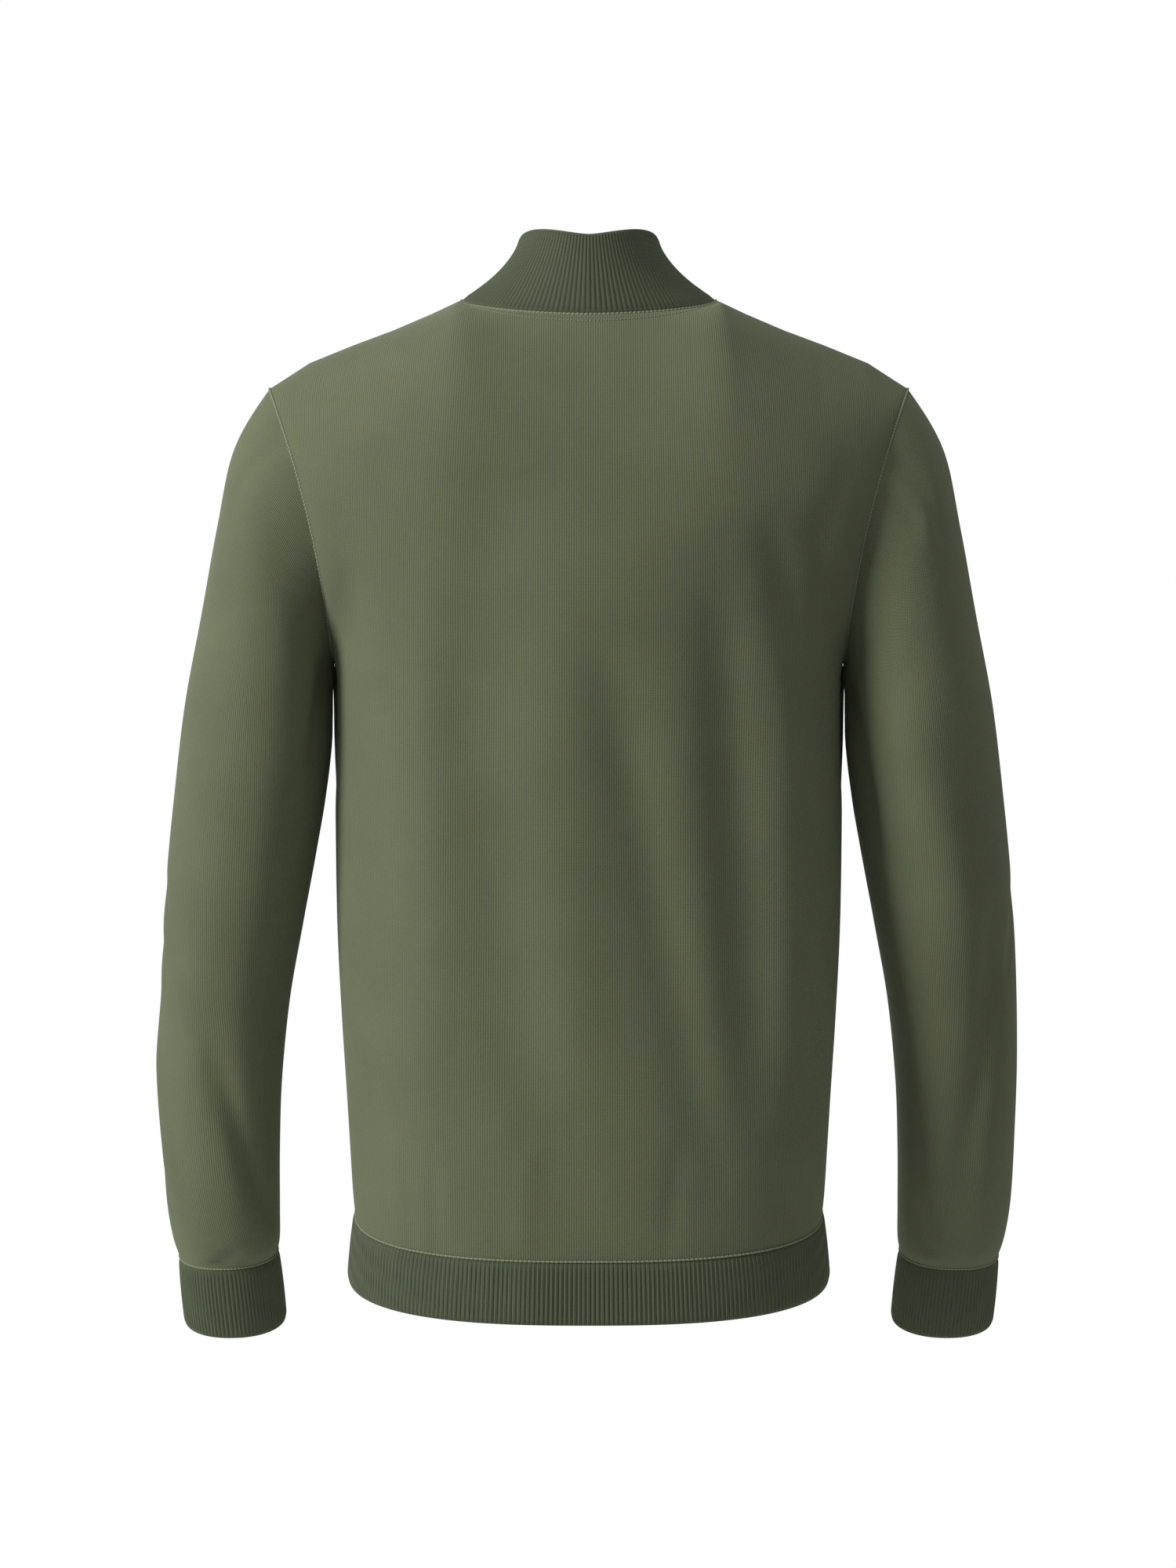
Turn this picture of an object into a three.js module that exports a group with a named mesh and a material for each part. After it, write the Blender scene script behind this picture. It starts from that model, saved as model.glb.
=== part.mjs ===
// A fine-gauge knitted pullover with a ribbed mock-neck collar, filled out as if worn, in millimetres.
//
// +Z is up, the front faces -Y and +X is the wearer's left. The origin is the middle of the neck base,
// level with the top of the shoulders, where the wearer carries the garment.
// Every piece is a cloth wall: a grid of points on its outer face and the same grid one wall further in.
// Pieces that are sewn together share the points of their seam, and each stands back from it by half a gap.

import * as THREE from "three";

// Driving dimensions, in millimetres and degrees.
const JERSEY_WALL = 1.8;
const RIB_WALL = 2.4;
const SEAM_GAP = 0.3;
const BODY_SQUARENESS = 2.6;
const SLEEVE_SQUARENESS = 2.15;
const UNDERARM_HEIGHT = -240;
const HEM_RIB_HEIGHT = 42;

const NECK = { halfWidth: 87.5, back: 52, front: 68, backZ: -6, sideZ: 9, frontZ: -34 };
const COLLAR_TOP = { halfWidth: 48.3, middleY: -19, halfDepth: 61, middleZ: 39.8, tilt: 9.8, sideRise: 11.3 };
const COLLAR_FLARE = 1.55;
const ARMHOLE = { topX: 219.5, topZ: -52, bottomX: 175, backDepth: 64, frontDepth: 62, backBow: 8.5, frontBow: 15 };

// How the grids are divided: columns across half a panel, and rows of each stretch.
const NECK_COLUMNS = 5;
const SHOULDER_COLUMNS = 6;
const HALF_COLUMNS = NECK_COLUMNS + SHOULDER_COLUMNS;
const BODY_ROWS = 13;
const YOKE_ROWS = 10;
const SLEEVE_ROWS = 15;
const COLLAR_ROWS = 4;
const HEM_RIB_ROWS = 2;
const CUFF_ROWS = 3;

const OLIVE_JERSEY = 0x5b664c;
const OLIVE_RIB = 0x525d45;

/** Turns the lines of a table into objects that carry the names of its columns. */
function table(columns, lines) {
  return lines.map((line) => Object.fromEntries(columns.map((name, i) => [name, line[i]])));
}

// The trunk from the hem seam up to the underarm. The drop is how far the middle hangs below the sides.
const TRUNK = table(["sideZ", "halfWidth", "back", "front", "backDrop", "frontDrop"], [
  [-616, 160.2, 111, 132, 25, 16],
  [-598, 162.0, 114, 135, 23, 15],
  [-570, 163.8, 116, 137, 20, 13],
  [-532, 166.2, 117, 137, 16, 10],
  [-480, 169.6, 117, 136, 11, 7],
  [-420, 172.6, 117, 134, 6, 4],
  [-350, 173.8, 118, 133, 3, 2],
  [-290, 174.0, 118, 132, 1, 1],
  [UNDERARM_HEIGHT, ARMHOLE.bottomX, 118, 131, 0, 0],
]);

// The lower edge of the ribbed hem, as the seam's row of the trunk above.
const HEM_EDGE = { sideZ: -616 - HEM_RIB_HEIGHT, halfWidth: 164.6, back: 114, front: 134, backDrop: 25, frontDrop: 16 };

// The line of each shoulder, from the neck to the armhole.
const SHOULDER = table(["x", "z"], [
  [NECK.halfWidth, NECK.sideZ],
  [108, -0.5],
  [135, -12],
  [162, -22],
  [192, -34],
  [ARMHOLE.topX, ARMHOLE.topZ],
]);

// Rings of the wearer's left sleeve, from the armhole to the cuff seam. Each is known by its outermost and
// innermost points, the middle and half depth from back to front, and how far it tips forward.
const SLEEVE = table(["outerX", "outerZ", "innerX", "innerZ", "middleY", "halfDepth", "tip"], [
  [ARMHOLE.topX, ARMHOLE.topZ, ARMHOLE.bottomX, UNDERARM_HEIGHT, 1, 63, 0],
  [243, -91, 177, -258, 1, 68, 0],
  [255.3, -148, 177.4, -276, 2, 71, 0],
  [266, -208, 178.0, -300, 3, 72, 0],
  [277, -268, 180.6, -330, 4, 71.5, 0],
  [284.5, -330, 187, -368, 3, 69, 1],
  [290.5, -390, 197, -421, 0, 65, 3],
  [294.5, -450, 206.5, -473, -8, 60, 6],
  [296.3, -511, 212.6, -529, -18, 55.5, 9],
  [295.7, -562, 214.8, -577, -28, 51.5, 12],
  [294.2, -608, 215.5, -619, -38, 47, 14],
  [290.6, -635, 215.8, -640, -43, 42, 15],
  [285.8, -652, 217.6, -650, -46, 33.5, 15],
]);

const CUFF_EDGE = { outerX: 283, outerZ: -699, innerX: 213, innerZ: -698, middleY: -60, halfDepth: 30, tip: 22 };

// Folds of the panels: a soft ridge, or a trough where the height is negative, between two points.
const PANEL_FOLDS = {
  back: table(["topX", "topZ", "bottomX", "bottomZ", "width", "height"], [
    [62, -110, 78, -310, 30, -4.5],
    [74, -300, 22, -600, 26, -4],
    [116, -210, 108, -560, 26, 4],
    [20, -200, 12, -540, 30, 3.5],
    [-14, -250, -92, -560, 20, -5],
    [-82, -200, -98, -470, 22, -6],
    [-124, -190, -126, -520, 20, 5],
    [-122, -160, -168, -345, 12, -5],
  ]),
  front: table(["topX", "topZ", "bottomX", "bottomZ", "width", "height"], [
    [-66, -140, -80, -380, 30, -4],
    [58, -180, 84, -470, 26, -5],
    [4, -220, -18, -560, 30, 4],
    [112, -220, 116, -540, 24, 4.5],
    [-112, -230, -98, -580, 26, 4],
  ]),
};

const clamp01 = (value) => Math.min(1, Math.max(0, value));
const mix = (from, to, share) => from + (to - from) * share;
const smooth = (value) => clamp01(value) ** 2 * (3 - 2 * clamp01(value));
const radians = (degrees) => (degrees * Math.PI) / 180;

/** Reads a column between the rows of a table, on a smooth curve through them. */
function read(rows, column, share) {
  const place = clamp01(share) * (rows.length - 1);
  const i = Math.min(rows.length - 2, Math.floor(place));
  const f = place - i;
  const at = (k) => rows[Math.min(rows.length - 1, Math.max(0, k))][column];
  const slopeIn = i === 0 ? at(1) - at(0) : (at(i + 1) - at(i - 1)) / 2;
  const slopeOut = i === rows.length - 2 ? at(i + 1) - at(i) : (at(i + 2) - at(i)) / 2;
  const f2 = f * f;
  const f3 = f2 * f;
  return (2 * f3 - 3 * f2 + 1) * at(i) + (f3 - 2 * f2 + f) * slopeIn + (3 * f2 - 2 * f3) * at(i + 1) + (f3 - f2) * slopeOut;
}

/** Reads every column of a table at once. */
function readRow(rows, share) {
  return Object.fromEntries(Object.keys(rows[0]).map((column) => [column, read(rows, column, share)]));
}

/** The height of the shoulder line at a distance from the middle. */
function shoulderHeight(x) {
  const i = Math.min(SHOULDER.length - 2, SHOULDER.filter((row) => row.x <= x).length - 1);
  const [from, to] = [SHOULDER[i], SHOULDER[i + 1]];
  return mix(from.z, to.z, (x - from.x) / (to.x - from.x));
}

/** A point of the armhole: turn 0 is the underarm, half a turn the end of the shoulder. */
function armholePoint(side, turn) {
  const [sin, cos] = [Math.sin(turn), Math.cos(turn)];
  const middleX = (ARMHOLE.topX + ARMHOLE.bottomX) / 2;
  const middleZ = (ARMHOLE.topZ + UNDERARM_HEIGHT) / 2;
  return {
    x: middleX - (middleX - ARMHOLE.bottomX) * cos - ARMHOLE[`${side}Bow`] * sin * sin,
    depth: ARMHOLE[`${side}Depth`] * sin,
    z: middleZ - (middleZ - UNDERARM_HEIGHT) * cos,
  };
}

/** A point of the neck seam: across is 0 at the middle of the panel and 1 at the shoulder. */
function neckPoint(side, across) {
  const turn = (across * Math.PI) / 2;
  return {
    x: NECK.halfWidth * Math.sin(turn),
    depth: NECK[side] * Math.cos(turn),
    z: mix(NECK[`${side}Z`], NECK.sideZ, (1 - Math.cos(turn)) ** 0.9),
  };
}

/** A point of a panel's top edge, which is the neck seam and then the shoulder seam. */
function topPoint(side, across) {
  const neckShare = NECK_COLUMNS / HALF_COLUMNS;
  if (across <= neckShare) {
    return neckPoint(side, across / neckShare);
  }
  const x = mix(NECK.halfWidth, ARMHOLE.topX, (across - neckShare) / (1 - neckShare));
  return { x, depth: 0, z: shoulderHeight(x) };
}

/** The top edge with its corner at the neck rounded away, which is what the rows well below it follow. */
function easedTop(side, across) {
  const reach = 1.5 * (NECK_COLUMNS / HALF_COLUMNS);
  const middle = 1 - smooth(across / reach);
  const slope = shoulderHeight(mix(NECK.halfWidth, ARMHOLE.topX, smooth(across) * across));
  return { depth: NECK[side] * middle, z: mix(slope, NECK[`${side}Z`], middle ** 1.5) };
}

/** The share of the half width and of the depth at a place on the trunk's rounded-square section. */
function sectionShares(across) {
  const turn = (across ** 1.3 * Math.PI) / 2;
  const power = 2 / BODY_SQUARENESS;
  return { width: Math.sin(turn) ** power, depth: Math.max(0, Math.cos(turn)) ** power };
}

/** How far the folds lift a panel at a place on it. They die away towards its side edges. */
function foldHeight(side, x, z, across) {
  let height = 0;
  for (const fold of PANEL_FOLDS[side]) {
    const alongX = fold.bottomX - fold.topX;
    const alongZ = fold.bottomZ - fold.topZ;
    const length = Math.hypot(alongX, alongZ);
    const along = ((x - fold.topX) * alongX + (z - fold.topZ) * alongZ) / length ** 2;
    const aside = ((x - fold.topX) * alongZ - (z - fold.topZ) * alongX) / length;
    const fade = smooth((along + 0.15) / 0.4) * smooth((1.15 - along) / 0.4);
    height += fold.height * Math.exp(-((aside / fold.width) ** 2)) * fade;
  }
  return height * (1 - across ** 8);
}

/** A point of a row of the trunk, or of the hem below it. */
function trunkPoint(side, row, across) {
  const shares = sectionShares(Math.abs(across));
  return {
    x: Math.sign(across) * row.halfWidth * shares.width,
    depth: row[side] * shares.depth,
    z: row.sideZ - row[`${side}Drop`] * shares.depth,
  };
}

/** A point of the yoke, from the underarm row (rise 0) to the neck and shoulder seams (rise 1). */
function yokePoint(side, rise, across) {
  const off = Math.abs(across);
  const low = trunkPoint(side, TRUNK.at(-1), off);
  const corner = topPoint(side, off);
  const eased = easedTop(side, off);
  const top = {
    x: corner.x,
    depth: mix(eased.depth, corner.depth, rise ** 5),
    z: mix(eased.z, corner.z, rise ** 4),
  };
  const edge = armholePoint(side, rise * Math.PI);
  const neckShare = NECK_COLUMNS / HALF_COLUMNS;
  const lastTurn = radians(mix(62, 90, smooth(off / neckShare)));
  const turn = lastTurn * rise ** 1.3;
  const power = 0.78;
  const climb = (Math.sin(turn) / Math.sin(lastTurn)) ** power;
  const endDepth = Math.max(0, Math.cos(lastTurn)) ** power;
  const keep = (Math.max(0, Math.cos(turn)) ** power - endDepth) / (1 - endDepth);
  const edgeClimb = (1 - Math.cos(rise * Math.PI)) / 2;
  const bulgePower = 1 + Math.min(1, 4 * (1 - off));
  const bulge = ARMHOLE[`${side}Depth`] * Math.sin(rise * Math.PI) ** bulgePower * off ** 2.2;
  const widthShare = mix(sectionShares(off).width, top.x / ARMHOLE.topX, smooth(rise));
  return {
    x: Math.sign(across) * edge.x * widthShare,
    depth: top.depth + (low.depth - top.depth) * keep + bulge,
    z: low.z + (top.z - low.z) * mix(climb, edgeClimb, off ** 3),
  };
}

/** A panel of jersey as a grid of points, row by row from the hem seam to the neck and shoulders. */
function panelGrid(side) {
  const facing = side === "back" ? 1 : -1;
  const grid = [];
  for (let row = 0; row <= BODY_ROWS + YOKE_ROWS; row += 1) {
    const line = [];
    for (let column = -HALF_COLUMNS; column <= HALF_COLUMNS; column += 1) {
      const across = column / HALF_COLUMNS;
      const low = row <= BODY_ROWS;
      const place = low
        ? trunkPoint(side, readRow(TRUNK, row / BODY_ROWS), across)
        : yokePoint(side, (row - BODY_ROWS) / YOKE_ROWS, across);
      const lift = foldHeight(side, place.x, place.z, Math.abs(across));
      line.push(new THREE.Vector3(place.x, facing * (place.depth + lift), place.z));
    }
    grid.push(line);
  }
  return grid;
}

/** Half of the ribbed hem as a grid, from its lower edge up to the hem seam. */
function hemGrid(side) {
  const facing = side === "back" ? 1 : -1;
  const grid = [];
  for (let row = 0; row <= HEM_RIB_ROWS; row += 1) {
    const line = [];
    for (let column = -HALF_COLUMNS; column <= HALF_COLUMNS; column += 1) {
      const across = column / HALF_COLUMNS;
      const low = trunkPoint(side, HEM_EDGE, across);
      const high = trunkPoint(side, TRUNK[0], across);
      const share = row / HEM_RIB_ROWS;
      const lift = foldHeight(side, high.x, high.z, Math.abs(across)) * share;
      const depth = mix(low.depth, high.depth, share) + lift;
      line.push(new THREE.Vector3(mix(low.x, high.x, share), facing * depth, mix(low.z, high.z, share)));
    }
    grid.push(line);
  }
  return grid;
}

/** A point of a sleeve's or cuff's ring: turn 0 is the underarm line, and the back comes before the front. */
function ringPoint(ring, turn) {
  const power = 2 / SLEEVE_SQUARENESS;
  const rounded = (value) => Math.sign(value) * Math.abs(value) ** power;
  const inward = rounded(Math.cos(turn));
  const backward = rounded(Math.sin(turn));
  const tip = radians(ring.tip);
  const middleX = (ring.outerX + ring.innerX) / 2;
  const middleZ = (ring.outerZ + ring.innerZ) / 2;
  return new THREE.Vector3(
    middleX + (ring.innerX - middleX) * inward,
    ring.middleY + ring.halfDepth * backward * Math.cos(tip),
    middleZ + (ring.innerZ - middleZ) * inward - ring.halfDepth * backward * Math.sin(tip),
  );
}

/** The wearer's left sleeve as rings from the armhole to the cuff seam. */
function sleeveGrid() {
  const grid = [];
  for (let row = 0; row <= SLEEVE_ROWS; row += 1) {
    const share = row / SLEEVE_ROWS;
    const ring = readRow(SLEEVE, share);
    const line = [];
    for (let step = 0; step < 2 * YOKE_ROWS; step += 1) {
      const turn = (step / YOKE_ROWS) * Math.PI;
      const side = step <= YOKE_ROWS ? "back" : "front";
      const facing = side === "back" ? 1 : -1;
      const hole = armholePoint(side, side === "back" ? turn : 2 * Math.PI - turn);
      const seam = new THREE.Vector3(hole.x, facing * hole.depth, hole.z);
      const leaving = (1 - smooth(share * 8)) ** 2;
      line.push(ringPoint(ring, turn).lerp(seam, leaving));
    }
    grid.push(line);
  }
  return grid;
}

/** The wearer's left cuff as rings from the cuff seam to its lower edge. */
function cuffGrid() {
  const seam = SLEEVE.at(-1);
  const grid = [];
  for (let row = 0; row <= CUFF_ROWS; row += 1) {
    const share = row / CUFF_ROWS;
    const ring = Object.fromEntries(Object.keys(seam).map((key) => [key, mix(seam[key], CUFF_EDGE[key], share)]));
    const line = [];
    for (let step = 0; step < 2 * YOKE_ROWS; step += 1) {
      line.push(ringPoint(ring, (step / YOKE_ROWS) * Math.PI));
    }
    grid.push(line);
  }
  return grid;
}

/** The collar as rings from the neck seam up. A ring starts at the middle of the back and runs to +X. */
function collarGrid() {
  const grid = [];
  for (let row = 0; row <= COLLAR_ROWS; row += 1) {
    const rise = row / COLLAR_ROWS;
    const line = [];
    for (let step = 0; step < 4 * NECK_COLUMNS; step += 1) {
      const turn = (step / (2 * NECK_COLUMNS)) * Math.PI;
      const side = Math.cos(turn) > -1e-9 ? "back" : "front";
      const base = neckPoint(side, (Math.asin(Math.min(1, Math.abs(Math.sin(turn)))) * 2) / Math.PI);
      const facing = side === "back" ? 1 : -1;
      const flank = Math.abs(Math.sin(turn));
      const towardsFront = Math.acos(Math.cos(turn)) / Math.PI;
      const sideRise = COLLAR_TOP.sideRise * Math.sin(Math.PI * towardsFront ** 0.8) ** 2;
      const inwards = 1 - (1 - rise) ** mix(1, COLLAR_FLARE, flank);
      line.push(new THREE.Vector3(
        mix(Math.sign(Math.sin(turn)) * base.x, COLLAR_TOP.halfWidth * Math.sin(turn), inwards),
        mix(facing * base.depth, COLLAR_TOP.middleY + COLLAR_TOP.halfDepth * Math.cos(turn), inwards),
        mix(base.z, COLLAR_TOP.middleZ + COLLAR_TOP.tilt * Math.cos(turn) + sideRise, rise),
      ));
    }
    grid.push(line);
  }
  return grid;
}

/** The same grid on the wearer's right. */
function mirrored(grid) {
  return grid.map((line) => line.map((point) => new THREE.Vector3(-point.x, point.y, point.z)));
}

/** A piece of cloth: its grid, whether it closes on itself, and which way its outer face looks. */
class Piece {
  constructor(name, grid, { closed = false, turned = false, wall = JERSEY_WALL, colour = OLIVE_JERSEY } = {}) {
    Object.assign(this, { name, grid, closed, turned, wall, colour });
    this.rows = grid.length;
    this.columns = grid[0].length;
    this.mates = new Map();
  }

  point(row, column) {
    return this.grid[row][this.closed ? (column + this.columns) % this.columns : column];
  }

  key(row, column) {
    return row * this.columns + (this.closed ? (column + this.columns) % this.columns : column);
  }

  /** The outward direction at a point of the grid, from its neighbours. */
  normal(row, column) {
    const low = Math.max(0, row - 1);
    const high = Math.min(this.rows - 1, row + 1);
    const before = this.closed ? column - 1 : Math.max(0, column - 1);
    const after = this.closed ? column + 1 : Math.min(this.columns - 1, column + 1);
    const across = this.point(row, after).clone().sub(this.point(row, before));
    const up = this.point(high, column).clone().sub(this.point(low, column));
    return across.cross(up).multiplyScalar(this.turned ? -1 : 1).normalize();
  }

  /** Notes that a point of this piece is sewn to a point of another, each with the way into its own cloth. */
  sew([row, column, inRow, inColumn], other, [otherRow, otherColumn, otherInRow, otherInColumn]) {
    const inward = this.point(inRow, inColumn).clone().sub(this.point(row, column)).normalize();
    const otherInward = other.point(otherInRow, otherInColumn).clone()
      .sub(other.point(otherRow, otherColumn)).normalize();
    const [mine, theirs] = [this.normal(row, column), other.normal(otherRow, otherColumn)];
    const note = (piece, key, mate) => piece.mates.set(key, [...(piece.mates.get(key) ?? []), mate]);
    note(this, this.key(row, column), { normal: theirs, own: mine, inward, otherInward });
    note(other, other.key(otherRow, otherColumn), {
      normal: mine, own: theirs, inward: otherInward, otherInward: inward,
    });
  }

  /** Moves a seam's point back by half a gap, and gives the direction in which its wall is cut there. */
  cut(row, column) {
    const own = this.normal(row, column);
    const direction = own.clone();
    const step = new THREE.Vector3();
    for (const mate of this.mates.get(this.key(row, column)) ?? []) {
      const facing = clamp01(1 + own.dot(mate.normal));
      direction.addScaledVector(mate.normal, facing);
      const apart = mate.inward.clone().sub(mate.otherInward);
      apart.addScaledVector(mate.normal.clone().sub(mate.own), 0.25);
      step.addScaledVector(apart.normalize(), SEAM_GAP / 2);
    }
    direction.normalize();
    const length = this.wall / Math.max(0.6, direction.dot(own));
    const outer = this.point(row, column).clone().add(step);
    return { outer, inner: outer.clone().addScaledVector(direction, -length) };
  }

  /** The closed wall as a mesh: the outer face, the inner face and the cut edges between them. */
  mesh() {
    const positions = [];
    const inside = [];
    for (let row = 0; row < this.rows; row += 1) {
      for (let column = 0; column < this.columns; column += 1) {
        const { outer, inner } = this.cut(row, column);
        positions.push(...outer.toArray());
        inside.push(...inner.toArray());
      }
    }
    const count = this.rows * this.columns;
    const faces = [];
    const triangle = (a, b, c) => faces.push(...(this.turned ? [a, c, b] : [a, b, c]));
    const quad = (a, b, c, d) => {
      triangle(a, b, c);
      triangle(a, c, d);
    };
    const lastColumn = this.closed ? this.columns : this.columns - 1;
    for (let row = 0; row < this.rows - 1; row += 1) {
      for (let column = 0; column < lastColumn; column += 1) {
        const corners = [[row, column], [row, column + 1], [row + 1, column + 1], [row + 1, column]];
        const [a, b, c, d] = corners.map(([r, k]) => this.key(r, k));
        quad(a, b, c, d);
        triangle(a + count, c + count, b + count);
        triangle(a + count, d + count, c + count);
      }
    }
    const edge = (from, to) => quad(to, from, from + count, to + count);
    for (let column = 0; column < lastColumn; column += 1) {
      edge(this.key(0, column), this.key(0, column + 1));
      edge(this.key(this.rows - 1, column + 1), this.key(this.rows - 1, column));
    }
    for (let row = 0; row < this.rows - 1 && !this.closed; row += 1) {
      edge(this.key(row + 1, 0), this.key(row, 0));
      edge(this.key(row, this.columns - 1), this.key(row + 1, this.columns - 1));
    }
    const geometry = new THREE.BufferGeometry();
    geometry.setAttribute("position", new THREE.Float32BufferAttribute([...positions, ...inside], 3));
    geometry.setIndex(faces);
    geometry.computeVertexNormals();
    const material = new THREE.MeshStandardMaterial({ color: this.colour, roughness: 0.9, metalness: 0 });
    const mesh = new THREE.Mesh(geometry, material);
    mesh.name = this.name;
    return mesh;
  }
}

const ribbed = { wall: RIB_WALL, colour: OLIVE_RIB };
const back = new Piece("back", panelGrid("back"), { turned: true });
const front = new Piece("front", panelGrid("front"));
const hemBack = new Piece("hem_rib_back", hemGrid("back"), { turned: true, ...ribbed });
const hemFront = new Piece("hem_rib_front", hemGrid("front"), ribbed);
const collar = new Piece("collar", collarGrid(), { closed: true, turned: true, ...ribbed });
const sleeveLeft = new Piece("sleeve_left", sleeveGrid(), { closed: true });
const sleeveRight = new Piece("sleeve_right", mirrored(sleeveGrid()), { closed: true, turned: true });
const cuffLeft = new Piece("cuff_left", cuffGrid(), { closed: true, ...ribbed });
const cuffRight = new Piece("cuff_right", mirrored(cuffGrid()), { closed: true, turned: true, ...ribbed });

/** Sews the two panels along their sides and shoulders, and each to its half of the hem. */
function sewBody() {
  const last = 2 * HALF_COLUMNS;
  const top = BODY_ROWS + YOKE_ROWS;
  for (const [edge, next] of [[0, 1], [last, last - 1]]) {
    for (let row = 0; row <= BODY_ROWS; row += 1) {
      back.sew([row, edge, row, next], front, [row, edge, row, next]);
    }
    for (let row = 0; row <= HEM_RIB_ROWS; row += 1) {
      hemBack.sew([row, edge, row, next], hemFront, [row, edge, row, next]);
    }
  }
  for (let column = 0; column <= last; column += 1) {
    if (Math.abs(column - HALF_COLUMNS) >= NECK_COLUMNS) {
      back.sew([top, column, top - 1, column], front, [top, column, top - 1, column]);
    }
    for (const [panel, hem] of [[back, hemBack], [front, hemFront]]) {
      panel.sew([0, column, 1, column], hem, [HEM_RIB_ROWS, column, HEM_RIB_ROWS - 1, column]);
    }
  }
}

/** Sews a sleeve into its armhole and its cuff onto it. */
function sewSleeve(sleeve, cuff, edge, next) {
  for (let step = 0; step < 2 * YOKE_ROWS; step += 1) {
    const backRow = BODY_ROWS + step;
    const frontRow = BODY_ROWS + 2 * YOKE_ROWS - step;
    if (step <= YOKE_ROWS) {
      sleeve.sew([0, step, 1, step], back, [backRow, edge, backRow, next]);
    }
    if (step >= YOKE_ROWS) {
      sleeve.sew([0, step, 1, step], front, [frontRow, edge, frontRow, next]);
    }
    sleeve.sew([SLEEVE_ROWS, step, SLEEVE_ROWS - 1, step], cuff, [0, step, 1, step]);
  }
  sleeve.sew([0, 0, 1, 0], front, [BODY_ROWS, edge, BODY_ROWS, next]);
}

/** Sews the collar to the neck edges of the two panels. */
function sewCollar() {
  const top = BODY_ROWS + YOKE_ROWS;
  for (let step = 0; step < 4 * NECK_COLUMNS; step += 1) {
    const fromBack = step <= 2 * NECK_COLUMNS ? step : step - 4 * NECK_COLUMNS;
    const fromFront = Math.sign(fromBack) * (2 * NECK_COLUMNS - Math.abs(fromBack));
    if (Math.abs(fromBack) <= NECK_COLUMNS) {
      const column = HALF_COLUMNS + fromBack;
      collar.sew([0, step, 1, step], back, [top, column, top - 1, column]);
    }
    if (Math.abs(fromBack) >= NECK_COLUMNS) {
      const column = HALF_COLUMNS + fromFront;
      collar.sew([0, step, 1, step], front, [top, column, top - 1, column]);
    }
  }
}

sewBody();
sewSleeve(sleeveLeft, cuffLeft, 2 * HALF_COLUMNS, 2 * HALF_COLUMNS - 1);
sewSleeve(sleeveRight, cuffRight, 0, 1);
sewCollar();

const sweater = new THREE.Group();
for (const piece of [back, front, sleeveLeft, sleeveRight, collar, hemBack, hemFront, cuffLeft, cuffRight]) {
  sweater.add(piece.mesh());
}

export default sweater;
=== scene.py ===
"""Knitted mock-neck sweater in olive green, filled out as if worn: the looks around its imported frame.

Shapes are worked out in millimetres and put into meshes in metres. The front faces -Y and +X is the
wearer's left. Every cloth piece is a grid of points worked out as whole arrays, with a wall behind it.
"""

from __future__ import annotations

import logging
from dataclasses import dataclass
from enum import Enum
from math import pi, radians

import bpy
import numpy as np
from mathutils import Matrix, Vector

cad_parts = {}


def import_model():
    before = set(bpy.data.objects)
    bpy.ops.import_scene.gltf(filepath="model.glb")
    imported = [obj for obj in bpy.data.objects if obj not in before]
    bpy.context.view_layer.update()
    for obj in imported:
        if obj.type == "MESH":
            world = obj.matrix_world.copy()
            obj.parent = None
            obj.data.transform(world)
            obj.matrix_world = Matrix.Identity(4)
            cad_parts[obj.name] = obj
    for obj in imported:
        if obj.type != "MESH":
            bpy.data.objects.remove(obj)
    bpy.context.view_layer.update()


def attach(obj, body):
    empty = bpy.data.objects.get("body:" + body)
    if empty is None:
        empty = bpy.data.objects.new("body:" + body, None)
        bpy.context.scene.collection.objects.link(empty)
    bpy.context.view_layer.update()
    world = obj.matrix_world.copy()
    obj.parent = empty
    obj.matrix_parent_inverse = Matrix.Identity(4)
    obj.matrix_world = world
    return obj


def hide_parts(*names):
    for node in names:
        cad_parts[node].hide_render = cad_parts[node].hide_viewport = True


LOG = logging.getLogger("sweater")
BODY = "root"
MM = 0.001


class Side(Enum):
    """Which half of the trunk a piece covers, with the sign of its outward Y."""

    BACK = 1
    FRONT = -1

    @property
    def key(self) -> str:
        """The word that the tables use for this side."""
        return self.name.lower()


class Arm(Enum):
    """Which of the wearer's arms a piece belongs to, with the sign of its X."""

    LEFT = 1
    RIGHT = -1

    @property
    def key(self) -> str:
        """The word that node names use for this arm."""
        return self.name.lower()


@dataclass(frozen=True)
class Table:
    """Rows of numbers under named columns, read on a smooth curve through the rows."""

    columns: tuple[str, ...]
    rows: tuple[tuple[float, ...], ...]

    def read(self, share: np.ndarray) -> dict[str, np.ndarray]:
        """Reads every column at shares of the way from the first row to the last.

        A cubic through each pair of rows, whose slopes are half the step between their neighbours.

        Args:
            share: Places from 0 to 1, of any shape.

        Returns:
            The value of each column at those places.
        """
        data = np.array(self.rows, dtype=float)
        count = len(data)
        place = np.clip(share, 0.0, 1.0) * (count - 1)
        low = np.minimum(place.astype(int), count - 2)
        step = place - low
        slopes = np.gradient(data, axis=0)
        start = 2 * step**3 - 3 * step**2 + 1
        leave = step**3 - 2 * step**2 + step
        arrive = step**3 - step**2
        values = {}
        for i, name in enumerate(self.columns):
            column, slope = data[:, i], slopes[:, i]
            values[name] = (
                start * column[low] + leave * slope[low]
                + (1 - start) * column[low + 1] + arrive * slope[low + 1]
            )
        return values

    def row(self, index: int) -> dict[str, np.ndarray]:
        """One row of the table as named values."""
        return {name: np.float64(value) for name, value in zip(self.columns, self.rows[index])}


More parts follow.
